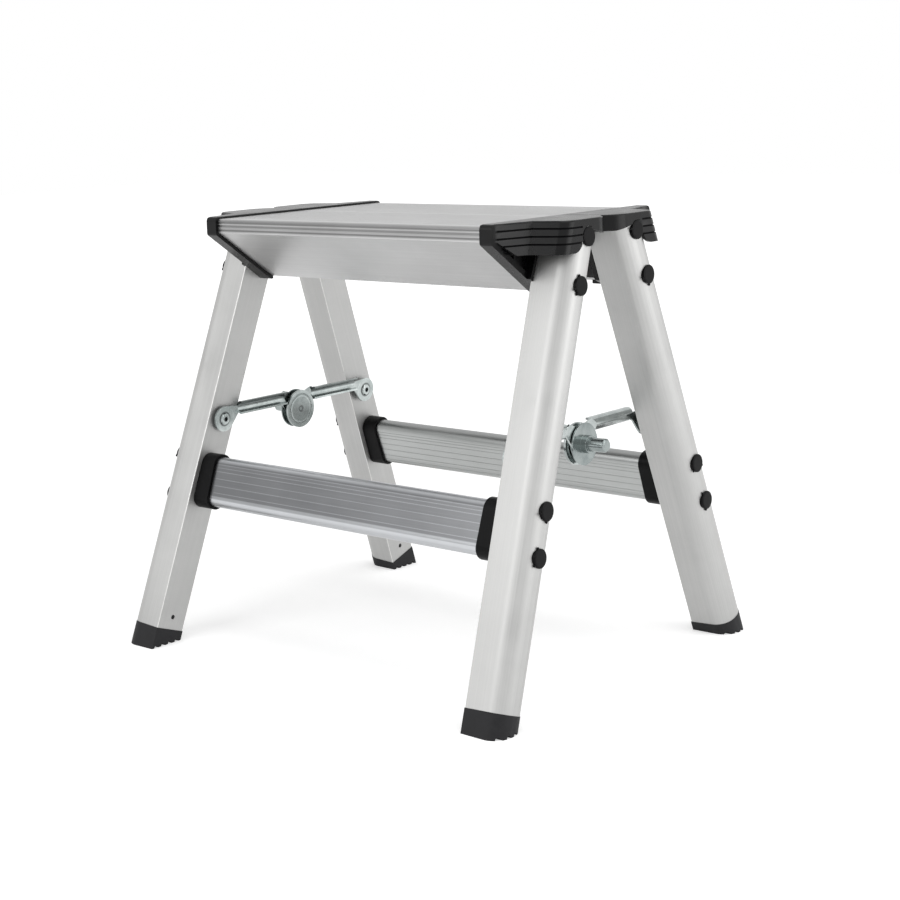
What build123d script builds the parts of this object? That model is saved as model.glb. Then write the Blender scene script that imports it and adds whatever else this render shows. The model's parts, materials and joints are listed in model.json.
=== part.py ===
from build123d import *
import math
import os

os.makedirs("parts", exist_ok=True)

# Overall stance
platform_height = 428.0
lean = 20.0
splay = 3.1
lean_tan = math.tan(math.radians(lean))
splay_tan = math.tan(math.radians(splay))
running_gap = 0.06
seat_gap = 0.15
moving_gap = 0.3
mid_gap = 0.15
reach = 900.0

# Leg tubes
leg_width = 41.0
leg_depth = 36.0
leg_wall = 2.0
leg_corner = 16.2
leg_inner_top = 176.9
leg_mid_top = 32.3
leg_top_drop = 2.8
leg_bottom = 15.0

# Treads
tread_depth = 120.2
tread_wall = 1.8
lip_height = 13.7
lip_round = 3.0
lip_groove_depth = 0.7
lip_groove_drops = (4.9, 9.2, 12.3)
lip_groove_widths = (3.4, 1.4, 1.2)
skirt_foot = 48.0
skirt_drop = 62.8
flange_height = 6.0
top_line_pitch = 8.0
top_line_width = 2.0
top_line_depth = 0.5
port_radius = 4.0
port_spots = (24.5, 64.0)
tread_screw_radius = 1.9
tread_screw_length = 14.0
tread_head_radius = 3.6
tread_head_height = 1.6

# Corner brackets
band = 3.3
collar_start = 165.0
collar_width = 13.0
plate_inset = 7.5
crown = 2.2
ridge_wall_height = 28.8
housing_wall = 3.0
housing_out = 1.4
housing_inset = 4.0
nose_in = 5.0
elbow_x = 188.0
elbow_d = 77.0
shoulder_x = 213.0
shoulder_d = 69.0
corner_d = 62.0
back_corner_x = 207.0
back_corner_d = 14.0
housing_round = 6.0
corner_round = 14.0
back_round = 24.0
groove_pitch = 6.7
groove_width = 1.6
groove_depth = 0.9
groove_count = 3
mid_wall_height = 9.2
mid_wall_turn = 10.0
mid_wall_rise = 6.0
cheek_foot = 58.7
cheek_margin = 4.0
cheek_thick = 5.0
recess_floor = 2.0
recess_margin = 2.0
recess_rib = 2.4
foot_back = 2.0
arch_margin = 0.5
arch_drop = 3.0
wall_round = 14.0
boss_radius = 5.5
boss_length = 9.0

# Hinge under the tread joint
hinge_drop = 23.0
eye_radius = 8.5
eye_width = 4.4
eye_link = 26.0
pin_radius = 4.0
pin_head_radius = 6.5
pin_head_height = 2.0

# Leg screws and their caps
screw_drops = (15.8, 57.8)
screw_radius = 2.0
screw_reach = 6.0
screw_head_radius = 4.2
screw_head_height = 2.6
cap_hole_radius = 7.0
cap_radius = 8.8
cap_top_radius = 7.2
cap_rim = 1.8
cap_dome = 0.7
cap_sink = 2.4
cap_stem = 4.5

# Rungs and their ends
rung_height = 162.6
rung_tall = 51.2
rung_thick = 19.3
rung_round = 9.0
rung_wall = 1.6
rung_line_pitch = 5.7
rung_line_width = 0.8
rung_line_depth = 0.3
rung_line_count = 7
rung_half = 185.0
rung_screw_spread = 20.6
rung_end_start = 172.0
rung_end_proud = 2.9
rung_plug = 20.0

# Feet
foot_proud = 0.4
foot_plug = 26.0
foot_tread_count = 4
foot_tread_pitch = 9.2
foot_tread_radius = 2.6
snap_radius = 2.4
snap_rise = 12.0

# Folding spreaders
eyelet_height = 223.5
pivot_splay = 1.98
eyelet_radius = 13.0
eyelet_neck = -37.0
lock_drop = 4.8
link_gap = 3.0
link_plate = 2.0
link_band_low = 3.0
link_band_tall = 13.5
link_depth = 7.0
link_start = 19.0
link_end_gap = 19.4
link_overlap = 8.0
link_corner = 6.0
tab_radius = 14.2
tab_neck = 204.0
tab_gap = 0.6
rivet_radius = 5.0
rivet_head_radius = 6.6
rivet_top_radius = 4.8
rivet_head_height = 1.8
rivet_washer_radius = 9.0
rivet_bore = 2.3
rivet_bore_depth = 3.0
disc_radius = 20.0
disc_height = 2.6
disc_gap = 0.9
disc_seat = 0.2
disc_ring = 14.6
disc_ring_width = 1.6
disc_ring_depth = 0.5
disc_dimple = 3.3
pivot_pin_radius = 5.0
washer_radius = 20.0
washer_height = 1.7
washer_seat = 0.6
stub_radius = 6.5
stub_hub_radius = 8.4
stub_hub = 8.0
stub_length = 26.0
stub_chamfer = 1.6

# Frames and levels that the sizes above give
leg_out = Vector(math.cos(math.radians(splay)), 0, math.sin(math.radians(splay)))
leg_up = Vector(-splay_tan, lean_tan, 1).normalized()
leg_top = platform_height - leg_top_drop
leg_front_top = leg_mid_top + leg_depth / math.cos(math.radians(lean)) / 2
leg_back_top = leg_mid_top - leg_depth / math.cos(math.radians(lean)) / 2
lip_bottom = platform_height - lip_height
skirt_bottom = platform_height - skirt_drop
bracket_top = platform_height + crown
wall_bottom = bracket_top - ridge_wall_height
plate_face = collar_start + plate_inset
collar_end = collar_start + collar_width
housing_x = leg_inner_top + leg_width + housing_out
hinge_height = platform_height - hinge_drop
rung_d = leg_mid_top + (platform_height - rung_height) * lean_tan
port_height = platform_height - tread_wall - port_radius + top_line_depth
head_seat = plate_face + recess_floor
tab_layer = link_gap + link_plate + tab_gap
half_span = leg_mid_top + (platform_height - eyelet_height) * lean_tan
base_align = (Align.CENTER, Align.CENTER, Align.MIN)


def closed_area(*corners):
    return make_face(Polyline(*corners, close=True))


def slanted(d_top, z):
    return d_top + (platform_height - z) * lean_tan


def inner_point(z):
    return Vector(leg_inner_top + (platform_height - z) * splay_tan, -slanted(leg_mid_top, z), z)


def leg_frame(z):
    return Plane(origin=inner_point(z), x_dir=leg_out, z_dir=leg_up)


def side_frame(z):
    return Plane(origin=inner_point(z), x_dir=(0, 1, 0), z_dir=leg_out)


def side_rod(z, radius, start, end):
    return side_frame(z) * Pos(0, 0, start) * Cylinder(radius, end - start, align=base_align)


def across(profile, x_in, x_out):
    plane = Plane(origin=(x_out, 0, 0), x_dir=(0, -1, 0), z_dir=(-1, 0, 0))
    return extrude(plane * profile, amount=x_out - x_in)


def below(z):
    return Pos(0, 0, z - reach / 2) * Box(reach, reach, reach)


def above(z):
    return Pos(0, 0, z + reach / 2) * Box(reach, reach, reach)


def leg_side(inside):
    shift = -reach / 2 if inside else reach / 2
    return leg_frame(platform_height) * Pos(shift, 0, 0) * Box(reach, 2 * reach, reach)


def leg_section(grow):
    section = Rectangle(leg_width, leg_depth)
    section = fillet(section.vertices().sort_by(Axis.X)[-2:], leg_corner)
    if grow:
        section = offset(section, amount=grow)
    return Pos(leg_width / 2, 0) * section


screw_heights = [platform_height - drop for drop in screw_drops]
rung_step = rung_screw_spread * math.cos(math.radians(lean))
screw_heights += [rung_height + rung_step, rung_height - rung_step]
snap_height = leg_bottom + snap_rise
pivot_point = side_frame(eyelet_height).from_local_coords(Vector(half_span, -lock_drop, 0))
pivot_out = Vector(math.cos(math.radians(pivot_splay)), 0, math.sin(math.radians(pivot_splay)))
pivot_frame = Plane(origin=pivot_point, x_dir=(0, 1, 0), z_dir=pivot_out)


# Leg tube of the front right corner
def make_leg():
    section = leg_section(0) - leg_section(-leg_wall)
    tube = extrude(leg_frame(leg_bottom) * section, amount=reach) & below(leg_top)
    for z in screw_heights:
        tube -= side_rod(z, screw_radius + seat_gap, -leg_wall, 2 * leg_wall)
        tube -= side_rod(z, cap_hole_radius, leg_width / 2, leg_width + leg_wall)
    tube -= side_rod(eyelet_height, rivet_radius + seat_gap, -leg_wall, 2 * leg_wall)
    return tube - side_rod(snap_height, snap_radius, -leg_wall, 2 * leg_wall)


# Moulded foot with a plug, a snap and a ribbed sole
def make_foot():
    boot = extrude(leg_frame(leg_bottom) * leg_section(foot_proud), amount=-leg_depth) & above(0)
    for k in range(foot_tread_count):
        d = slanted(leg_mid_top, 0) + (k - (foot_tread_count - 1) / 2) * foot_tread_pitch
        boot -= across(Pos(d, 0) * Circle(foot_tread_radius), 0, reach)
    plug = extrude(leg_frame(leg_bottom) * leg_section(-leg_wall - seat_gap), amount=foot_plug)
    return boot + plug + side_rod(snap_height, snap_radius - seat_gap, leg_wall / 2, 2 * leg_wall)


# Tread half, drawn in section: outward distance from the middle against height
def make_tread():
    skirt = math.atan2(lip_bottom - skirt_bottom, tread_depth - skirt_foot)
    inner_lip = tread_depth - tread_wall
    skirt_lift = tread_wall / math.cos(skirt)
    flange_bottom = platform_height - flange_height
    flange_d = mid_gap + seat_gap
    section = closed_area(
        (flange_d, flange_bottom),
        (flange_d, platform_height),
        (tread_depth, platform_height),
        (tread_depth, lip_bottom),
        (skirt_foot, skirt_bottom),
        (skirt_foot, skirt_bottom + skirt_lift),
        (inner_lip, lip_bottom + skirt_lift - tread_wall * math.tan(skirt)),
        (inner_lip, platform_height - tread_wall),
        (flange_d + tread_wall, platform_height - tread_wall),
        (flange_d + tread_wall, flange_bottom),
    )
    nose = section.vertices().sort_by_distance((tread_depth, platform_height))[:1]
    section = fillet(nose, lip_round)
    for drop, width in zip(lip_groove_drops, lip_groove_widths):
        section -= Pos(tread_depth, platform_height - drop) * Rectangle(2 * lip_groove_depth, width)
    for k in range(1, int((tread_depth - lip_round) / top_line_pitch)):
        section -= Pos(k * top_line_pitch, platform_height) * Rectangle(top_line_width, 2 * top_line_depth)
    for d in port_spots:
        section += Pos(d, port_height) * Circle(port_radius)
        section -= Pos(d, port_height) * Circle(tread_screw_radius + running_gap)
    return across(section, -plate_face, plate_face)


# Plan of the housing over the leg top, leaning with the leg as it goes down
def housing_plan(z, inset):
    out = (bracket_top - z) * lean_tan
    side = (bracket_top - z) * splay_tan
    nose = tread_depth + band
    shoulder = (shoulder_x + side, -shoulder_d - out)
    corner = (housing_x + side, -corner_d - out)
    back_corner = (housing_x + side, -back_corner_d)
    tail = (back_corner_x + side, -mid_gap)
    plan = closed_area(
        (plate_face, -mid_gap),
        (plate_face, -nose),
        (collar_end, -nose + nose_in),
        (elbow_x + side, -elbow_d - out),
        shoulder,
        corner,
        back_corner,
        tail,
    )
    rounds = {shoulder: housing_round, corner: corner_round, back_corner: back_round, tail: housing_round}
    for spot, radius in rounds.items():
        plan = fillet(plan.vertices().sort_by_distance(spot)[:1], radius)
    if inset:
        plan = offset(plan, amount=-inset)
    return Plane.XY.offset(z) * plan


def housing_block(top, bottom, inset):
    return loft([housing_plan(top, inset), housing_plan(bottom, inset)])


# Corner bracket: collar, end plate, cheek, ridged housing and hinge eye
def make_bracket(front):
    cheek_low = platform_height - cheek_foot
    wall_low = platform_height - mid_wall_height
    cheek_back = leg_back_top + band / math.cos(math.radians(lean))
    cap_spot = inner_point(screw_heights[0]) + leg_out * leg_width
    base = closed_area(
        (mid_gap, platform_height),
        (tread_depth, platform_height),
        (tread_depth, lip_bottom),
        (skirt_foot, skirt_bottom),
        (slanted(cheek_back, cheek_low), cheek_low),
        (slanted(cheek_back, wall_low), wall_low),
        (mid_gap, wall_low),
    )
    nose = base.vertices().sort_by_distance((tread_depth, platform_height))[:1]
    base = fillet(nose, lip_round)
    window = Pos(mid_gap + reach / 2, bracket_top - reach / 2) * Rectangle(reach, reach)
    shell = offset(base, amount=band) & window
    low = platform_height - 2 * cheek_foot
    leg_strip = closed_area(
        (slanted(leg_back_top, bracket_top) - 2 * band, bracket_top),
        (slanted(leg_front_top, bracket_top) + cheek_margin, bracket_top),
        (slanted(leg_front_top, low) + cheek_margin, low),
        (slanted(leg_back_top, low) - 2 * band, low),
    )
    body = across(shell, collar_start, collar_end)
    body += across(shell & leg_strip, plate_face, leg_inner_top + leg_wall + band)
    housing = housing_block(bracket_top, wall_bottom, 0) & across(shell, collar_start, reach)
    trim = closed_area(
        (tread_depth - housing_inset, lip_bottom),
        (skirt_foot - housing_inset, skirt_bottom),
        (skirt_foot - housing_inset, low),
        (reach, low),
        (reach, lip_bottom),
    )
    body += housing - across(trim, collar_end, reach)
    body -= across(offset(base, amount=seat_gap), collar_start, plate_face)
    back = Pos(skirt_foot - foot_back - reach / 2, wall_low - band - reach / 2) * Rectangle(reach, reach)
    inward = leg_frame(platform_height) * Pos(-cheek_thick - reach / 2, 0, 0) * Box(reach, 2 * reach, reach)
    body -= across(back, collar_start, leg_inner_top) & inward
    body -= across(back, collar_start, plate_face)

    pocket = housing_block(leg_top, wall_bottom - band, housing_wall) & leg_side(False)
    body -= pocket & across(window, collar_start, reach)
    leg_room = Pos(seat_gap, 0) * leg_section(seat_gap)
    body -= extrude(leg_frame(0) * leg_room, amount=reach) & below(leg_top)

    for k in range(groove_count):
        z = bracket_top - (k + 1) * groove_pitch
        ring = housing_block(z + groove_width / 2, z - groove_width / 2, 0)
        ring -= housing_block(z + groove_width, z - groove_width, groove_depth)
        front_side = Pos(collar_end + reach / 2, cap_spot.Y - cap_radius - reach / 2, z)
        body -= ring & (front_side * Box(reach, reach, reach))

    recess = offset(base, amount=-recess_margin)
    recess &= Pos(reach / 2, wall_bottom - reach / 2) * Rectangle(reach, reach)
    recess -= leg_strip
    recess_middle = (slanted(leg_front_top, wall_bottom) + tread_depth) / 2
    recess -= Pos(recess_middle, wall_bottom) * Rectangle(recess_rib, reach)
    body -= across(recess, plate_face + recess_floor, collar_end + band)

    edge_d = cap_radius - cap_spot.Y
    kept = Pos(edge_d + reach / 2, wall_bottom + reach / 2) * Rectangle(reach, reach)
    kept = fillet(kept.vertices().sort_by_distance((edge_d, wall_bottom))[:1], wall_round)
    arch_top = cap_spot.Z - arch_drop
    arch = Pos(edge_d + wall_round - reach / 2, arch_top - reach / 2) * Rectangle(reach, reach) - kept
    arch += closed_area(
        (-reach, wall_low - band),
        (mid_wall_turn, wall_low - band),
        (-cap_spot.Y, wall_low - band + mid_wall_rise),
        (-cap_spot.Y, low),
        (-reach, low),
    )
    arch += Pos(-cap_spot.Y, cap_spot.Z) * Circle(cap_radius + arch_margin)
    body -= across(arch, leg_inner_top + leg_width / 2, reach)

    body += side_rod(screw_heights[0], boss_radius, -boss_length, -leg_wall)
    for z in screw_heights[:2]:
        body -= side_rod(z, screw_radius + running_gap, -screw_reach - seat_gap, leg_wall)
    for d in port_spots:
        spot = Pos(d, port_height)
        body -= across(spot * Circle(tread_screw_radius + running_gap), plate_face, collar_end)
        body -= across(spot * Circle(tread_head_radius + seat_gap), head_seat, collar_end)

    eye = Pos(0, hinge_height) * Circle(eye_radius)
    eye += Pos(eye_link / 2, hinge_height) * Rectangle(eye_link, 2 * eye_radius)
    if front:
        body += across(eye, plate_face, plate_face + eye_width)
    else:
        root = Pos(slanted(leg_back_top, hinge_height), hinge_height) * Rectangle(2 * band, 2 * eye_radius)
        body += across(eye, plate_face - moving_gap - eye_width, plate_face - moving_gap)
        body += across(root, plate_face - moving_gap - eye_width, leg_inner_top)
    body -= across(Pos(0, hinge_height) * Circle(pin_radius + running_gap), 0, reach)
    return body


# Pin through the two hinge eyes, headed at both ends
def make_hinge_pin():
    inner_end = plate_face - 2 * moving_gap - eye_width
    outer_end = plate_face + eye_width + moving_gap
    spot = Pos(0, hinge_height)
    pin = across(spot * Circle(pin_radius), inner_end, outer_end)
    pin += across(spot * Circle(pin_head_radius), inner_end - pin_head_height, inner_end)
    return pin + across(spot * Circle(pin_head_radius), outer_end, outer_end + pin_head_height)


def make_tread_screws():
    screws = []
    for d in port_spots:
        spot = Pos(d, port_height)
        shank = across(spot * Circle(tread_screw_radius), head_seat - tread_screw_length, head_seat)
        head = across(spot * Circle(tread_head_radius), head_seat, head_seat + tread_head_height)
        screws.append(shank + head)
    return screws


# Screws behind the caps, with their heads on the inner wall inside the leg
def make_leg_screws():
    screws = []
    for z in screw_heights:
        shank = side_rod(z, screw_radius, -screw_reach, leg_wall)
        screws.append(shank + side_rod(z, screw_head_radius, leg_wall, leg_wall + screw_head_height))
    return screws


# Caps with a saddle underside that fits the rounded outer side of the leg
def make_caps():
    head = Pos(0, 0, -cap_sink) * Cylinder(cap_radius, cap_sink + cap_rim, align=base_align)
    head += Pos(0, 0, cap_rim) * Cone(cap_radius, cap_top_radius, cap_dome, align=base_align)
    stem = Pos(0, 0, -cap_stem) * Cylinder(cap_hole_radius - seat_gap, cap_stem + cap_rim, align=base_align)
    leg_space = extrude(leg_frame(0) * leg_section(0), amount=reach)
    caps = []
    for z in screw_heights:
        seat = side_frame(z) * Pos(0, 0, leg_width)
        caps.append(seat * head - leg_space + seat * stem)
    return caps


# Rung tube with fine lines along both faces
def rung_section(grow):
    section = RectangleRounded(rung_thick + 2 * grow, rung_tall + 2 * grow, rung_round + grow)
    return Pos(rung_d, rung_height) * Rot(0, 0, lean) * section


def make_rung():
    section = rung_section(0)
    for k in range(rung_line_count):
        v = (k - (rung_line_count - 1) / 2) * rung_line_pitch
        for face in (-1, 1):
            slot = Pos(face * rung_thick / 2, v) * Rectangle(2 * rung_line_depth, rung_line_width)
            section -= Pos(rung_d, rung_height) * Rot(0, 0, lean) * slot
    return across(section - rung_section(-rung_wall), -rung_half, rung_half)


def make_rung_end():
    outer = across(rung_section(rung_end_proud), rung_end_start, reach)
    outer -= across(rung_section(seat_gap), rung_end_start, rung_half)
    plug = across(rung_section(-rung_wall - seat_gap), rung_half - rung_plug, rung_half)
    end = (outer + plug) & leg_side(True)
    for z in screw_heights[2:]:
        end -= side_rod(z, screw_radius + running_gap, -screw_reach - seat_gap, leg_wall)
    return end


def rim_point(u, v, radius, angle):
    return (u + radius * math.cos(math.radians(angle)), v + radius * math.sin(math.radians(angle)))


# Spreader link in the plane of the leg's inner face: u along it, v up, open side inward
def make_link(front):
    layer = link_gap if front else tab_layer
    top = link_band_low + link_band_tall
    body_end = half_span - link_end_gap
    middle = link_band_low + link_band_tall / 2
    band_plane = Plane(origin=(link_start, 0, 0), x_dir=(0, 1, 0), z_dir=(1, 0, 0))
    outer = Pos(middle, -layer - link_depth / 2) * Rectangle(link_band_tall, link_depth)
    outer = fillet(outer.vertices().sort_by(Axis.Y)[-2:], link_corner)
    hollow = Pos(middle, -layer - link_plate - link_depth / 2)
    hollow *= Rectangle(link_band_tall - 2 * link_plate, link_depth)
    hollow = fillet(hollow.vertices().sort_by(Axis.Y)[-2:], link_corner - link_plate)
    body = extrude(band_plane * (outer - hollow), amount=body_end - link_start)

    plate = Circle(eyelet_radius) + closed_area(
        (0, eyelet_radius),
        (link_start + link_overlap, top - link_corner),
        (link_start + link_overlap, link_band_low + link_corner),
        (link_start, link_band_low),
        rim_point(0, 0, eyelet_radius, eyelet_neck),
    )
    plate -= Circle(rivet_radius + running_gap)
    plate += Pos(half_span, -lock_drop) * Circle(tab_radius)
    plate += closed_area(
        (body_end - link_overlap, top - link_corner),
        (body_end, top),
        (half_span, tab_radius - lock_drop),
        rim_point(half_span, -lock_drop, tab_radius, tab_neck),
        (body_end - link_overlap, link_band_low + link_corner),
    )
    body += extrude(Pos(0, 0, -layer - link_plate) * plate, amount=link_plate)
    pivot_hole = pivot_rod(pivot_pin_radius + running_gap, -leg_width, leg_width)
    return side_frame(eyelet_height) * body - pivot_hole


def pivot_rod(radius, start, end):
    return pivot_frame * Pos(0, 0, start) * Cylinder(radius, end - start, align=base_align)


def make_pivot_disc():
    face = tab_layer + link_plate + disc_gap
    disc = pivot_rod(disc_radius, -face - disc_height, -face)
    disc += pivot_rod(pivot_pin_radius, -face, washer_seat - link_gap)
    disc += pivot_rod(rivet_washer_radius, -face, -tab_layer - link_plate - disc_seat)
    ring = pivot_rod(disc_ring + disc_ring_width, -face - disc_height, disc_ring_depth - face - disc_height)
    ring -= pivot_rod(disc_ring, -face - disc_height, disc_ring_depth - face - disc_height)
    return disc - ring - pivot_rod(disc_dimple, -face - disc_height, disc_ring_depth - face - disc_height)


# Washer and stub on the leg side of the pivot
def make_pivot_stub():
    stub = Cylinder(stub_radius, stub_length, align=base_align)
    stub = chamfer(stub.edges().sort_by(Axis.Z)[-1:], stub_chamfer)
    stub += Cylinder(stub_hub_radius, stub_hub, align=base_align)
    stub += Cylinder(washer_radius, washer_height, align=base_align)
    return pivot_frame * Pos(0, 0, washer_seat - link_gap) * stub


# Rivets of the eyelets: through the leg at the front, held in the link at the rear
def make_rivet(front):
    layer = link_gap if front else tab_layer
    face = -layer - link_plate - seat_gap
    top = face - rivet_head_height
    tail = leg_wall + rivet_head_height if front else -moving_gap
    rivet = side_rod(eyelet_height, rivet_radius, face, tail)
    head = Cone(rivet_top_radius, rivet_head_radius, rivet_head_height, align=base_align)
    rivet += side_frame(eyelet_height) * Pos(0, 0, top) * head
    rivet += side_rod(eyelet_height, rivet_washer_radius, seat_gap - layer, min(tail, 0))
    if front:
        rivet += side_rod(eyelet_height, rivet_head_radius, leg_wall, tail)
    return rivet - side_rod(eyelet_height, rivet_bore, top, top + rivet_bore_depth)


def make_rivet_tail():
    tail = side_rod(eyelet_height, rivet_radius, 0, leg_wall)
    return tail + side_rod(eyelet_height, rivet_head_radius, leg_wall, leg_wall + rivet_head_height)


# Copies for the four corners and the written files
def save(name, shape):
    solids = shape if isinstance(shape, list) else [shape]
    flat = [solid for piece in solids for solid in piece.solids()]
    export_step(flat[0] if len(flat) == 1 else Compound(children=flat), f"parts/{name}.step")


def turned(shape, about):
    pieces = shape if isinstance(shape, list) else [shape]
    return [mirror(piece, about=about) for piece in pieces]


def save_sides(name, shape):
    save(f"{name}_right", shape)
    save(f"{name}_left", turned(shape, Plane.YZ))


def save_corners(name, front, rear):
    save_sides(f"{name}_front", front)
    save_sides(f"{name}_rear", turned(rear, Plane.XZ))


def save_ends(name, shape):
    save(f"{name}_front", shape)
    save(f"{name}_rear", turned(shape, Plane.XZ))


for corner_name, corner_piece in (
    ("leg", make_leg()),
    ("foot", make_foot()),
    ("caps", make_caps()),
    ("leg_screws", make_leg_screws()),
    ("rung_end", make_rung_end()),
    ("tread_screws", make_tread_screws()),
):
    save_corners(corner_name, corner_piece, corner_piece)
save_corners("bracket", make_bracket(True), make_bracket(False))
save_corners("link", make_link(True), make_link(False))
save_corners("rivet", make_rivet(True), make_rivet(False))
save_sides("rivet_tail", turned(make_rivet_tail(), Plane.XZ))
save_sides("hinge_pin", make_hinge_pin())
save_sides("pivot_disc", make_pivot_disc())
save_sides("pivot_stub", make_pivot_stub())
save_ends("tread", make_tread())
save_ends("rung", make_rung())
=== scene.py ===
import json
import math

import bmesh
import bpy
from mathutils import Matrix, Vector

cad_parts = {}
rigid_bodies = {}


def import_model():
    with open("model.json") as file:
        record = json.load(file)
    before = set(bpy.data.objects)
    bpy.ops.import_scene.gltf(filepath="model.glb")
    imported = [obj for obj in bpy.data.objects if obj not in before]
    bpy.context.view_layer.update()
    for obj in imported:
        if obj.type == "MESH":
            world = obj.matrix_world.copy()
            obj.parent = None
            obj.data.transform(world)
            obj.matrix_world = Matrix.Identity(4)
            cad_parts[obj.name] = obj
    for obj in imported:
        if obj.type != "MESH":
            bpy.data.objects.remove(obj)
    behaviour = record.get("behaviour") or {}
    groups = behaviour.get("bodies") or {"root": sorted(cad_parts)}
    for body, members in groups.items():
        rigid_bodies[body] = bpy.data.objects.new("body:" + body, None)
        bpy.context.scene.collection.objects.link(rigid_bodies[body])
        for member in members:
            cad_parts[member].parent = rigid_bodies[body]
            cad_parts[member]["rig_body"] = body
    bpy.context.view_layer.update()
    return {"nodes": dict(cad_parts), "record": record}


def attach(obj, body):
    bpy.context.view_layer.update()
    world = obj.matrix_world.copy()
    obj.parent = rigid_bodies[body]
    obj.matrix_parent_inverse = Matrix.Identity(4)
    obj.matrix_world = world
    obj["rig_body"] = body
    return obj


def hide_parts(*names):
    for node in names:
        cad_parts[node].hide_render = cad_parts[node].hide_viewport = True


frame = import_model()
nodes = frame["nodes"]
scene = bpy.context.scene
print("frame loaded:", len(nodes), "nodes")

mm = 0.001
corners = [(end, side) for end in ("front", "rear") for side in ("right", "left")]

# camera fitted to the photograph, in metres and degrees, lens and sensor in mm
photoCamera = {
    "place": (1.12769, -1.34557, 0.54491),
    "azimuth": 43.2775,
    "elevation": 11.2466,
    "roll": -2.1117,
    "lens": 71.466,
    "sensor": 36,
    "shiftX": 0.13483,
    "clip": (0.05, 50),
}


def makeCamera(spec):
    azimuth, elevation, roll = (math.radians(spec[k]) for k in ("azimuth", "elevation", "roll"))
    ahead = Vector((
        -math.sin(azimuth) * math.cos(elevation),
        math.cos(azimuth) * math.cos(elevation),
        -math.sin(elevation),
    ))
    right = Vector((math.cos(azimuth), math.sin(azimuth), 0))
    up = right.cross(ahead)
    rolledRight = right * math.cos(roll) + up * math.sin(roll)
    rolledUp = up * math.cos(roll) - right * math.sin(roll)
    turn = Matrix((rolledRight, rolledUp, -ahead)).transposed().to_4x4()
    data = bpy.data.cameras.new("photoCamera")
    data.lens = spec["lens"]
    data.sensor_width = spec["sensor"]
    data.shift_x = spec["shiftX"]
    data.clip_start, data.clip_end = spec["clip"]
    camera = bpy.data.objects.new("photoCamera", data)
    camera.matrix_world = Matrix.Translation(spec["place"]) @ turn
    scene.collection.objects.link(camera)
    scene.camera = camera


makeCamera(photoCamera)
print("camera set")


def fromHex(text):
    channels = [int(text[i:i + 2], 16) / 255 for i in (1, 3, 5)]
    linear = [c / 12.92 if c <= 0.04045 else ((c + 0.055) / 1.055) ** 2.4 for c in channels]
    return (*linear, 1.0)


def addNode(tree, kind, settings=None, values=None, links=None):
    node = tree.nodes.new(kind)
    for name, value in (settings or {}).items():
        setattr(node, name, value)
    for name, value in (values or {}).items():
        node.inputs[name].default_value = value
    for name, source in (links or {}).items():
        tree.links.new(source, node.inputs[name])
    return node


def startMaterial(name, values):
    material = bpy.data.materials.new(name)
    material.use_nodes = True
    tree = material.node_tree
    tree.nodes.clear()
    shader = addNode(tree, "ShaderNodeBsdfPrincipled", values=values)
    addNode(tree, "ShaderNodeOutputMaterial", links={"Surface": shader.outputs[0]})
    coords = addNode(tree, "ShaderNodeTexCoord")
    return material, tree, shader, coords.outputs["Object"]


def calculate(tree, operation, links, values=None):
    node = addNode(tree, "ShaderNodeMath", {"operation": operation}, values, links)
    return node.outputs[0]


def vectorSum(tree, operation, vector, other=(0, 0, 0)):
    node = addNode(tree, "ShaderNodeVectorMath", {"operation": operation}, {1: other}, {0: vector})
    return node.outputs


def mapRange(tree, value, old, new=(0.0, 1.0)):
    names = ("From Min", "From Max", "To Min", "To Max")
    node = addNode(tree, "ShaderNodeMapRange", values=dict(zip(names, (*old, *new))), links={"Value": value})
    return node.outputs[0]


# noise with a feature size in mm
def noise(tree, place, size, detail, roughness=0.5):
    values = {"Scale": 1 / (size * mm), "Detail": detail, "Roughness": roughness}
    return addNode(tree, "ShaderNodeTexNoise", values=values, links={"Vector": place}).outputs[0]


def addRamp(tree, value, stops):
    node = addNode(tree, "ShaderNodeValToRGB", links={0: value})
    elements = node.color_ramp.elements
    while len(elements) < len(stops):
        elements.new(0.5)
    for element, (place, colour) in zip(elements, stops):
        element.position = place
        element.color = colour
    return node.outputs[0]


# the two colours of a material, at the two ends of part of a pattern's range
def toneBy(tree, pattern, spec):
    return addRamp(tree, pattern, [(at, fromHex(colour)) for at, colour in zip(spec["toneSpan"], spec["colours"])])


# a colour multiplied by shades that are given at places along a value
def tintBy(tree, value, colour, shades):
    low, high = shades[0][0], shades[-1][0]
    share = mapRange(tree, value, (low, high))
    ramp = addRamp(tree, share, [((at - low) / (high - low), (shade, shade, shade, 1)) for at, shade in shades])
    settings = {"data_type": "RGBA", "blend_type": "MULTIPLY"}
    return addNode(tree, "ShaderNodeMix", settings, {0: 1.0}, {6: colour, 7: ramp}).outputs[2]


# tone across a piece, as shades at distances in mm from a start point, along a direction or round an axis
def shadeAcross(tree, place, colour, profile):
    start = [c * mm for c in profile["start"]]
    away = vectorSum(tree, "SUBTRACT", place, start)["Vector"]
    if "axis" in profile:
        turned = vectorSum(tree, "CROSS_PRODUCT", away, profile["axis"])["Vector"]
        distance = vectorSum(tree, "LENGTH", turned)["Value"]
    else:
        distance = vectorSum(tree, "DOT_PRODUCT", away, profile["direction"])["Value"]
    return tintBy(tree, distance, colour, [(d * mm, shade) for d, shade in profile["shades"]])


patternSpan = (0.3, 0.7)  # part of a noise pattern's range that most of it falls in


# colour, a roughness that follows a pattern, and fine relief as a strength and a depth in mm
def joinShader(tree, shader, colour, pattern, roughness, height, relief):
    tree.links.new(colour, shader.inputs["Base Color"])
    tree.links.new(mapRange(tree, pattern, patternSpan, roughness), shader.inputs["Roughness"])
    strength, depth = relief
    bump = addNode(tree, "ShaderNodeBump", values={"Strength": strength, "Distance": depth * mm}, links={"Height": height})
    tree.links.new(bump.outputs[0], shader.inputs["Normal"])


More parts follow.
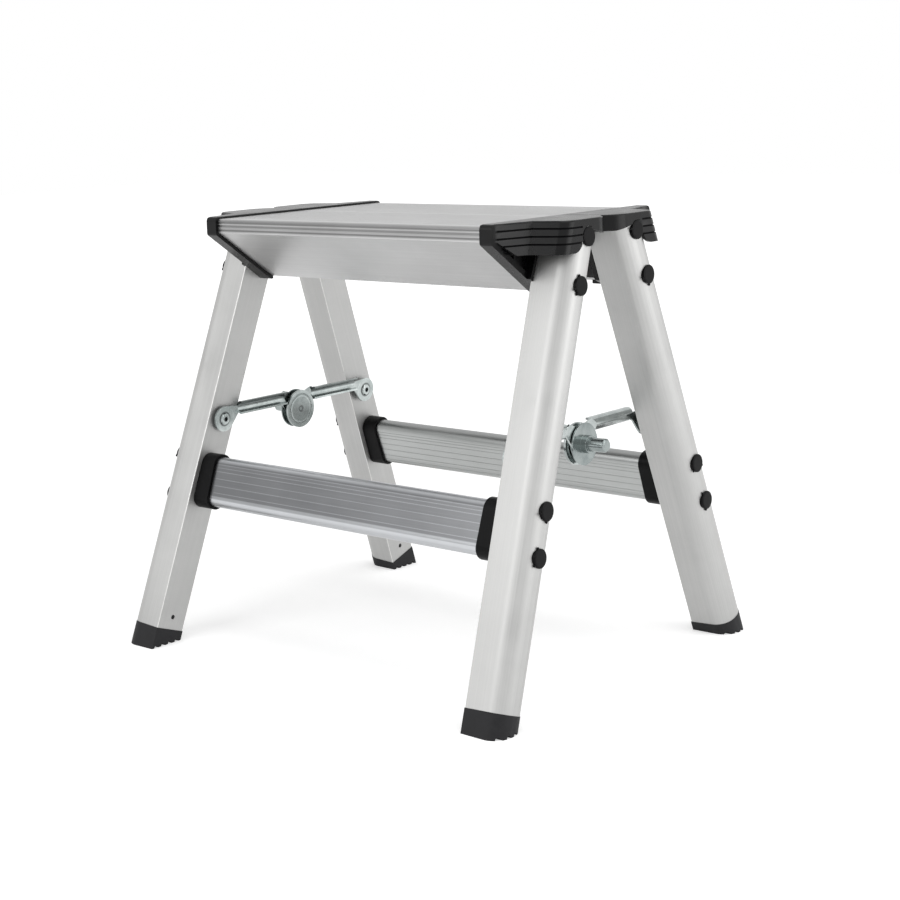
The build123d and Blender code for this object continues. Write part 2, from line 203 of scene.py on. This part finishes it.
# satin extruded aluminium: soft wide highlights, fine die lines along the tube and faint handling marks
aluminium = {
    "colours": ("#AFAFAE", "#C2C2C1"),
    "toneSpan": (0.30, 0.70),
    "roughness": (0.46, 0.60),
    "anisotropic": 0.25,
    "dieLine": 0.7,       # mm between lines, coarser than real so that they show
    "lineLength": 260.0,  # mm along the tube
    "cloud": 60.0,        # mm, patches of slightly different oxide
    "cloudShare": 0.45,
    "relief": (0.05, 0.2),
}


def makeAluminium(name, along, spec, profile=None):
    material, tree, shader, place = startMaterial(name, {"Metallic": 1.0, "Anisotropic": spec["anisotropic"]})
    turn = Vector(along).normalized().to_track_quat("X", "Z").inverted().to_euler()
    local = addNode(tree, "ShaderNodeMapping", values={"Rotation": turn}, links={"Vector": place})
    # in units of one line across and one line length along, so the noise has a size of one unit
    across = 1 / (spec["dieLine"] * mm)
    unit = (1 / (spec["lineLength"] * mm), across, across)
    stretch = addNode(tree, "ShaderNodeMapping", values={"Scale": unit}, links={"Vector": local.outputs[0]})
    lines = noise(tree, stretch.outputs[0], size=1 / mm, detail=3.0, roughness=0.6)
    cloud = noise(tree, place, spec["cloud"], detail=4.0, roughness=0.6)
    mix = addNode(tree, "ShaderNodeMix", {"data_type": "FLOAT"}, {0: spec["cloudShare"]}, {2: lines, 3: cloud})
    both = mix.outputs[0]
    colour = toneBy(tree, both, spec)
    if profile:
        colour = shadeAcross(tree, place, colour, profile)
    joinShader(tree, shader, colour, both, spec["roughness"], lines, spec["relief"])
    return material


# moulded polypropylene, charcoal: fine spark-eroded grain that scatters a soft sheen, greyer where it is handled
blackMoulding = {
    "colours": ("#070708", "#0E0E0F"),
    "toneSpan": (0.35, 0.72),
    "ior": 1.49,
    "specular": 0.22,
    "roughness": (0.24, 0.34),
    "grain": 0.9,    # mm, coarser than the real grain so that it shows
    "patch": 22.0,   # mm
    "relief": (0.16, 0.15),
}
# moulded rubber of the feet: duller and a little dusty
footRubber = dict(
    blackMoulding,
    colours=("#18181A", "#28282A"),
    specular=0.30,
    roughness=(0.55, 0.72),
    grain=1.2,
    patch=14.0,
    relief=(0.2, 0.15),
)
# caps and rung ends: the same moulding, duller
capMoulding = dict(blackMoulding, specular=0.10, roughness=(0.34, 0.46))
# painted shade inside the brackets' grooves, dull and near black: thin dark lines round the housing
grooveShadeMoulding = dict(blackMoulding, colours=("#040405", "#08080A"), specular=0.06, roughness=(0.60, 0.70))


def makeMoulding(name, spec):
    gloss = {"IOR": spec["ior"], "Specular IOR Level": spec["specular"]}
    material, tree, shader, place = startMaterial(name, gloss)
    grain = noise(tree, place, spec["grain"], detail=2.0)
    patch = noise(tree, place, spec["patch"], detail=5.0, roughness=0.65)
    joinShader(tree, shader, toneBy(tree, patch, spec), patch, spec["roughness"], grain, spec["relief"])
    return material


# zinc-plated steel: bright and a little blue, with cloudy passivation and fine tumbling marks
zincPlate = {
    "colours": ("#98A09F", "#B8BEBD"),
    "toneSpan": (0.30, 0.62),
    "roughness": (0.28, 0.16),   # rougher where the clouds are dark
    "cloud": 16.0,   # mm
    "mark": 1.4,     # mm
    "relief": (0.04, 0.1),
}
# the stubs: the same plate, duller
dullPlate = dict(zincPlate, colours=("#7A8282", "#989F9E"))
# painted shade on the upper half of the links' trough and painted light on its lower half, by height in mm, over a
# span in mm from the pivot
linkTroughShading = {
    "span": (19.4, 87.7),
    "soft": 1.5,
    "heights": ((226.5, 1.25), (232.2, 1.30), (233.6, 0.42), (238.4, 0.34), (239.4, 0.95), (240.0, 0.95)),
}


# painted shade and light inside a link's trough; the hollow side of a link faces the middle of the stool
def paintTroughShading(tree, place, colour, spec):
    spot = addNode(tree, "ShaderNodeSeparateXYZ", links={0: place}).outputs
    facing = addNode(tree, "ShaderNodeTexCoord").outputs["Normal"]
    normal = addNode(tree, "ShaderNodeSeparateXYZ", links={0: facing}).outputs
    outward = calculate(tree, "MULTIPLY", {0: spot["X"], 1: normal["X"]})
    mask = calculate(tree, "LESS_THAN", {0: outward}, {1: 0.0})
    away = calculate(tree, "ABSOLUTE", {0: spot["Y"]})
    (start, end), soft = spec["span"], spec["soft"]
    for outer, inner in ((start - soft, start), (end + soft, end)):
        edge = mapRange(tree, away, (outer * mm, inner * mm))
        mask = calculate(tree, "MULTIPLY", {0: mask, 1: edge})
    shaded = tintBy(tree, spot["Z"], colour, [(z * mm, shade) for z, shade in spec["heights"]])
    mix = addNode(tree, "ShaderNodeMix", {"data_type": "RGBA"}, links={0: mask, 6: colour, 7: shaded})
    return mix.outputs[2]


def makeZinc(name, spec, profile=None, troughShading=None):
    material, tree, shader, place = startMaterial(name, {"Metallic": 1.0})
    cloud = noise(tree, place, spec["cloud"], detail=5.0, roughness=0.6)
    scale = {"Scale": 1 / (spec["mark"] * mm)}
    mark = addNode(tree, "ShaderNodeTexVoronoi", {"feature": "F1"}, scale, {"Vector": place})
    colour = toneBy(tree, cloud, spec)
    if profile:
        colour = shadeAcross(tree, place, colour, profile)
    # painted shade and light in the hollow of a link
    if troughShading:
        colour = paintTroughShading(tree, place, colour, troughShading)
    joinShader(tree, shader, colour, cloud, spec["roughness"], mark.outputs[0], spec["relief"])
    return material


legLean = {"lean": 20.0, "splay": 3.1}  # degrees
leanTan, splayTan = (math.tan(math.radians(legLean[k])) for k in ("lean", "splay"))
legMaterials = {}
for end, side in corners:
    outX = 1 if side == "right" else -1
    inY = 1 if end == "front" else -1
    along = (-outX * splayTan, inY * leanTan, 1)
    legMaterials[end, side] = makeAluminium(f"satinTube_{end}_{side}", along, aluminium)
# painted highlight along the sharp corners of the tube: a lighter, smoother copy of the aluminium
edgeHighlightTube = dict(aluminium, colours=("#D2D2D0", "#E4E4E2"), roughness=(0.28, 0.40))
paintedEdgeHighlight = makeAluminium("paintedEdgeHighlight", (0, 0, 1), edgeHighlightTube)

# treads: a little smoother than the legs, with wider die lines
treadBar = dict(aluminium, colours=("#AAAAAA", "#BEBEBE"), roughness=(0.34, 0.46), dieLine=0.9)
# painted shade in the grooves of the tread lip and painted light on the skirt below it, as distances in mm down from
# the tread top
lipPaintedShading = {
    "start": (0, 0, 428.0),
    "direction": (0, 0, -1),
    "shades": (
        (0, 1.0), (0.7, 0.84), (2.0, 0.44), (3.9, 0.40), (4.5, 0.82), (5.5, 0.82), (6.0, 0.48), (7.4, 0.50),
        (8.2, 0.72), (9.8, 0.76), (10.3, 0.43), (11.2, 0.43), (12.0, 0.72), (13.2, 1.10), (15.0, 1.16),
    ),
}
# the treads' material carries the lip's painted shade and the skirt's painted light
extrusion = makeAluminium("satinExtrusion", (1, 0, 0), treadBar, lipPaintedShading)

# the rungs: tone across each rung, in mm from the bottom up; the front one has a darker flat face, painted highlights
# along its pressed lines and painted light on its rounded edges, the bottom edge standing in for the floor's
# reflection; the rear one has painted dark lines in its grooves, is a little darker at the bottom edge and has
# painted shade on its top rounding
rungBar = {"height": 162.6, "middle": 128.9, "tall": 51.2}
rungLines = (13.6, 20.9, 28.1, 35.4, 39.3, 42.5)
rungPaintedShading = {
    "front": {
        "colours": ("#B6B8BB", "#C8CACD"),
        "roughness": (0.26, 0.38),
        "face": 0.35,
        "line": 0.60,
        "lineSoft": 0.55,
        "below": ((0, 0.92), (3.2, 0.90), (4.4, 1.0), (6.6, 1.0), (7.4, 0.68), (9.6, 0.64), (10.7, 0.35)),
        "above": ((44.0, 0.33), (45.6, 0.60), (47.4, 1.0), (51.2, 1.0)),
    },
    "rear": {
        "colours": ("#AEB0AF", "#BEC0BF"),
        "roughness": (0.30, 0.42),
        "face": 1.0,
        "line": 0.86,
        "lineSoft": 0.9,
        "below": ((0, 0.82), (9.0, 0.86), (11.5, 0.95)),
        "above": ((44.0, 0.86), (47.0, 0.72), (49.5, 0.60), (51.2, 0.66)),
    },
}


def rungUp(end):
    lean = math.radians(legLean["lean"])
    return Vector((0, math.sin(lean) if end == "front" else -math.sin(lean), math.cos(lean)))


def rungStart(end):
    middle = Vector((0, -rungBar["middle"] if end == "front" else rungBar["middle"], rungBar["height"]))
    return middle - rungUp(end) * rungBar["tall"] / 2


def makeRung(end, spec):
    shades = list(spec["below"])
    soft, face = spec["lineSoft"], spec["face"]
    # at each pressed line a painted highlight on the front rung, a painted dark line in the groove on the rear one
    for middle in rungLines:
        shades += [(middle - soft, face), (middle, spec["line"]), (middle + soft, face)]
    profile = {"start": rungStart(end), "direction": rungUp(end), "shades": shades + list(spec["above"])}
    return makeAluminium(f"paintedShadeRung_{end}", (1, 0, 0), dict(aluminium, **spec), profile)


rungs = {end: makeRung(end, rungPaintedShading[end]) for end in ("front", "rear")}
plastic = makeMoulding("charcoalMoulding", blackMoulding)
capPlastic = makeMoulding("dullCapMoulding", capMoulding)
groovePaintedShade = makeMoulding("groovePaintedShade", grooveShadeMoulding)
rubber = makeMoulding("footRubber", footRubber)
zinc = makeZinc("zincPlate", zincPlate)
dullZinc = makeZinc("dullZincStub", dullPlate)

# painted shade and highlights round the spreaders' rivets and pivots, dark holes and rings with bright rims, as
# distances in mm from the axis
spreaderLightAndShade = {
    "disc": (
        (0, 0.95), (1.5, 0.95), (2.3, 0.35), (3.3, 0.45), (4.0, 0.95), (12.6, 0.92), (13.5, 1.20),
        (14.5, 1.25), (15.2, 0.60), (16.2, 0.80), (17.0, 1.05), (19.4, 1.15), (20.0, 0.80),
    ),
    "rivet": ((0, 0.04), (1.5, 0.04), (2.3, 0.55), (2.8, 1.0), (4.6, 1.20), (5.6, 1.0), (6.3, 0.45), (7.0, 0.45)),
    "eyelet": ((0, 0.4), (6.6, 0.35), (7.3, 0.45), (8.2, 1.05), (11.5, 1.08), (12.6, 1.18), (13.2, 1.0), (14.0, 1.0)),
}
joints = {joint["name"]: joint for joint in frame["record"]["behaviour"]["joints"]}


# shades round a joint's axis, or round its mirror image at the rear
def roundShade(joint, part, end="front"):
    x, y, z = (c / mm for c in joint["pos_m"])
    start = (x, y if end == "front" else -y, z)
    return {"start": start, "axis": joint["axis"], "shades": spreaderLightAndShade[part]}


spreaderMetals = {}
# painted shade and highlights round each pivot disc, rivet and eyelet
for side in ("right", "left"):
    shade = roundShade(joints[f"rear_spreader_{side}"], "disc")
    spreaderMetals[f"pivot_disc_{side}"] = makeZinc(f"zincDisc_{side}", zincPlate, shade)
for end, side in corners:
    joint = joints[f"front_spreader_{side}"]
    rivetShade, eyeletShade = (roundShade(joint, part, end) for part in ("rivet", "eyelet"))
    spreaderMetals[f"rivet_{end}_{side}"] = makeZinc(f"zincRivet_{end}_{side}", zincPlate, rivetShade)
    spreaderMetals[f"link_{end}_{side}"] = makeZinc(f"zincLink_{end}_{side}", zincPlate, eyeletShade, linkTroughShading)
print("materials made")


def dress(node, material):
    mesh = nodes[node].data
    mesh.materials.clear()
    mesh.materials.append(material)


# the entry whose key is the longest start of a node's name
def entryFor(node, entries):
    starts = [start for start in entries if node.startswith(start)]
    return entries[max(starts, key=len)] if starts else None


finishes = {
    "foot_": rubber,
    "caps_": capPlastic,
    "bracket_": plastic,
    "rung_end_": capPlastic,
    "tread_": extrusion,
    "rung_front": rungs["front"],
    "rung_rear": rungs["rear"],
    "tread_screws_": zinc,
    "leg_screws_": zinc,
    "rivet_tail_": zinc,
    "hinge_pin_": zinc,
    "pivot_stub_": dullZinc,
    **spreaderMetals,
}
for name in nodes:
    finish = entryFor(name, finishes)
    if finish:
        dress(name, finish)
for end, side in corners:
    dress(f"leg_{end}_{side}", legMaterials[end, side])
print("CAD nodes dressed")

# edges that are moulded, pressed or cut: a copy of each node with its sharp edges softened
# lengths in mm, angles in degrees; the legs' long corners take a painted highlight and the brackets' grooves a
# painted shade, as the second material
softEdges = {
    "bracket_": {
        "angle": 28, "crease": 18,
        "rim": 1.4, "rimSegments": 4, "rimHeight": 429.6,
        "second": groovePaintedShade, "grooves": (423.5, 416.8, 410.1), "grooveHalf": 0.95,
    },
    "rung_end_": {"radius": 1.2, "segments": 3, "angle": 40},
    "foot_": {"radius": 1.4, "segments": 3, "angle": 40},
    "caps_": {"radius": 0.4, "segments": 2, "angle": 40},
    "leg_": {
        "radius": 0.35, "segments": 2, "angle": 50,
        "second": paintedEdgeHighlight, "highlightLength": 100.0, "highlightRadius": 0.55, "highlightSegments": 3,
    },
    "tread_": {"radius": 0.25, "segments": 2, "angle": 40},
    "rung_": {"radius": 0.25, "segments": 2, "angle": 40},
    "link_": {"radius": 0.4, "segments": 2, "angle": 40},
    "rivet_": {"radius": 0.5, "segments": 2, "angle": 50},
    "pivot_": {"radius": 0.4, "segments": 2, "angle": 50},
}
hiddenNodes = ("leg_screws_", "tread_screws_", "hinge_pin_", "rivet_tail_")
meshCare = {
    "merge": 0.002,    # mm, points that are one point
    "flat": 0.5,       # degrees, faces that are one plane
    "sliver": 0.004,   # mm, edges that a bevel leaves too short
    "crease": 32,      # degrees, where the shading breaks
}

# moulding flash left on the rim of each cap, in mm and in degrees round the rim from the rear, caps from the top down
capFlash = {
    "rim": 8.9,
    "dome": 0.3,
    "below": 1.7,
    "size": (1.9, 1.5, 1.0),
    "turns": {
        "front": ((60, 172), (101, 190, 224), (180, 262), (100, 212)),
        "rear": ((60, 172), (201, 274), (227, 340), (130, 262)),
    },
}


def looseParts(work):
    left = set(work.verts)
    parts = []
    while left:
        found = [left.pop()]
        for vert in found:
            for edge in vert.link_edges:
                other = edge.other_vert(vert)
                if other in left:
                    left.remove(other)
                    found.append(other)
        parts.append(found)
    return parts


def addFlash(work, end, side, spec):
    outX = 1 if side == "right" else -1
    splay = math.radians(legLean["splay"])
    out = Vector((outX * math.cos(splay), 0, math.sin(splay)))
    back = Vector((0, 1, 0))
    up = out.cross(back) * outX
    centres = []
    for verts in looseParts(work):
        top = max(vert.co.dot(out) for vert in verts)
        dome = [vert.co for vert in verts if vert.co.dot(out) > top - spec["dome"] * mm]
        centres.append(sum(dome, Vector()) / len(dome) - out * spec["below"] * mm)
    centres.sort(key=lambda centre: -centre.z)
    for turns, centre in zip(spec["turns"][end], centres):
        for turn in turns:
            angle = math.radians(turn)
            away = back * math.cos(angle) + up * math.sin(angle)
            axes = Matrix((away, out.cross(away), out)).transposed().to_4x4()
            seat = Matrix.Translation(centre + away * spec["rim"] * mm)
            place = seat @ axes @ Matrix.Diagonal((*spec["size"], 1))
            bmesh.ops.create_icosphere(work, subdivisions=2, radius=mm, matrix=place)


# pressed lines shifted to where the photograph shows them, as distances in mm along a direction: from, to
rungMoves = {
    "near": 0.5,
    "moves": ((14.2, 13.6), (19.9, 20.9), (25.6, 28.1), (31.3, 35.4), (37.0, 39.3)),
}
lipMoves = {
    "near": 0.15,
    "moves": ((3.2, 3.05), (6.6, 4.3), (8.5, 5.9), (9.9, 7.6), (11.7, 10.1), (12.9, 11.4)),
}
lipFace = 119.2  # mm from the middle, just inside the floor of the lip's grooves


def moveLines(work, verts, start, direction, spec):
    for old, new in spec["moves"]:
        line = [v for v in verts if abs((v.co - start * mm).dot(direction) - old * mm) < spec["near"] * mm]
        bmesh.ops.translate(work, verts=line, vec=direction * (new - old) * mm)


def sharpEdges(work, angle):
    limit = math.radians(angle)
    return [e for e in work.edges if len(e.link_faces) == 2 and e.calc_face_angle(0) > limit]


def roundOff(work, edges, radius, segments, clamp=True):
    made = bmesh.ops.bevel(
        work, geom=edges, offset=radius * mm, offset_type="OFFSET", segments=segments,
        profile=0.5, affect="EDGES", clamp_overlap=clamp, material=-1)
    return made["faces"]


def shapeCopy(work, node, spec):
    bmesh.ops.remove_doubles(work, verts=work.verts[:], dist=meshCare["merge"] * mm)
    flat = math.radians(meshCare["flat"])
    bmesh.ops.dissolve_limit(work, angle_limit=flat, verts=work.verts[:], edges=work.edges[:])
    end = node.split("_")[-1]
    if node in ("rung_front", "rung_rear"):
        moveLines(work, work.verts[:], rungStart(end), rungUp(end), rungMoves)
    if node in ("tread_front", "tread_rear"):
        lip = [v for v in work.verts if abs(v.co.y) > lipFace * mm]
        moveLines(work, lip, Vector(lipPaintedShading["start"]), Vector(lipPaintedShading["direction"]), lipMoves)
    if "rim" in spec:
        height = spec["rimHeight"] * mm
        rim = [e for e in sharpEdges(work, spec["angle"]) if min(v.co.z for v in e.verts) > height]
        roundOff(work, rim, spec["rim"], spec["rimSegments"], clamp=False)
    # the legs' long sharp corners, rounded and given the painted highlight
    if "highlightLength" in spec:
        length = spec["highlightLength"] * mm
        highlightEdges = [e for e in sharpEdges(work, spec["angle"]) if e.calc_length() > length]
        for face in roundOff(work, highlightEdges, spec["highlightRadius"], spec["highlightSegments"], clamp=False):
            face.material_index = 1
    if "radius" in spec:
        roundOff(work, sharpEdges(work, spec["angle"]), spec["radius"], spec["segments"])
        bmesh.ops.dissolve_degenerate(work, dist=meshCare["sliver"] * mm, edges=work.edges[:])
    # faces in the brackets' grooves take the painted shade
    for height in spec.get("grooves", ()):
        for face in work.faces:
            if all(abs(v.co.z - height * mm) < spec["grooveHalf"] * mm for v in face.verts):
                face.material_index = 1
    if node.startswith("caps_"):
        addFlash(work, *node.split("_")[1:], capFlash)


def soften(node, spec):
    source = nodes[node]
    work = bmesh.new()
    work.from_mesh(source.data)
    shapeCopy(work, node, spec)
    for face in work.faces:
        face.smooth = True
    mesh = bpy.data.meshes.new("soft_" + node)
    work.to_mesh(mesh)
    work.free()
    mesh.set_sharp_from_angle(angle=math.radians(spec.get("crease", meshCare["crease"])))
    mesh.materials.append(source.data.materials[0])
    if "second" in spec:
        mesh.materials.append(spec["second"])
    piece = bpy.data.objects.new("soft_" + node, mesh)
    scene.collection.objects.link(piece)
    flat = piece.modifiers.new("flatFaces", "WEIGHTED_NORMAL")
    flat.keep_sharp = True
    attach(piece, source["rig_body"])
    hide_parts(node)


for name in sorted(nodes):
    softness = entryFor(name, softEdges)
    if softness and not name.startswith(hiddenNodes):
        soften(name, softness)
print("edges softened")

# floor and studio: white all round, soft lamps low on the right, in front and above
studio = {
    "floor": "#EDEDED",
    "floorHalf": 8,            # m
    "floorRoughness": 0.9,
    "lift": (0.46, 0.80),      # added white near the object and far away
    "liftReach": (0.7, 2.6),   # m from the middle
    "ambient": (0.50, 1.0),    # of the white around, for lighting and where it is seen
    "target": (0, 0, 0.22),
    "lamps": {
        "key": {"place": (1.15, 0.35, 0.52), "size": 0.7, "power": 3.4},
        "front": {"place": (-0.35, -1.50, 0.95), "size": 0.8, "power": 7},
        "top": {"place": (0.7, 0.1, 2.4), "size": 1.8, "power": 18},
    },
}
white = (1, 1, 1, 1)


def makeLamp(name, spec, target):
    data = bpy.data.lights.new(name, "AREA")
    data.size = spec["size"]
    data.energy = spec["power"]
    lamp = bpy.data.objects.new(name, data)
    lamp.location = spec["place"]
    lamp.rotation_mode = "QUATERNION"
    lamp.rotation_quaternion = (Vector(target) - Vector(spec["place"])).to_track_quat("-Z", "Y")
    scene.collection.objects.link(lamp)


def seenRays(tree):
    path = addNode(tree, "ShaderNodeLightPath")
    seen = path.outputs["Is Camera Ray"]
    for ray in ("Is Glossy Ray", "Is Transmission Ray"):
        seen = calculate(tree, "MAXIMUM", {0: seen, 1: path.outputs[ray]})
    return seen


def makeFloor(spec):
    ground = bmesh.new()
    bmesh.ops.create_grid(ground, x_segments=1, y_segments=1, size=spec["floorHalf"])
    mesh = bpy.data.meshes.new("studioFloor")
    ground.to_mesh(mesh)
    ground.free()
    floor = bpy.data.objects.new("studioFloor", mesh)
    scene.collection.objects.link(floor)
    material, tree, shader, place = startMaterial("paperFloor", {
        "Base Color": fromHex(spec["floor"]),
        "Roughness": spec["floorRoughness"],
        "Specular IOR Level": 0.0,
        "Emission Color": white,
    })
    away = vectorSum(tree, "LENGTH", place)["Value"]
    rise = mapRange(tree, away, spec["liftReach"], spec["lift"])
    lift = calculate(tree, "MULTIPLY", {0: seenRays(tree), 1: rise})
    tree.links.new(lift, shader.inputs["Emission Strength"])
    mesh.materials.append(material)


def makeWorld(spec):
    world = bpy.data.worlds.new("studioWorld")
    scene.world = world
    world.use_nodes = True
    tree = world.node_tree
    tree.nodes.clear()
    strength = mapRange(tree, seenRays(tree), (0.0, 1.0), spec["ambient"])
    sky = addNode(tree, "ShaderNodeBackground", values={"Color": white}, links={"Strength": strength})
    addNode(tree, "ShaderNodeOutputWorld", links={"Surface": sky.outputs[0]})


makeFloor(studio)
for name, lamp in studio["lamps"].items():
    makeLamp(name + "Lamp", lamp, studio["target"])
makeWorld(studio)
scene.view_settings.view_transform = "Standard"
print("studio lit")
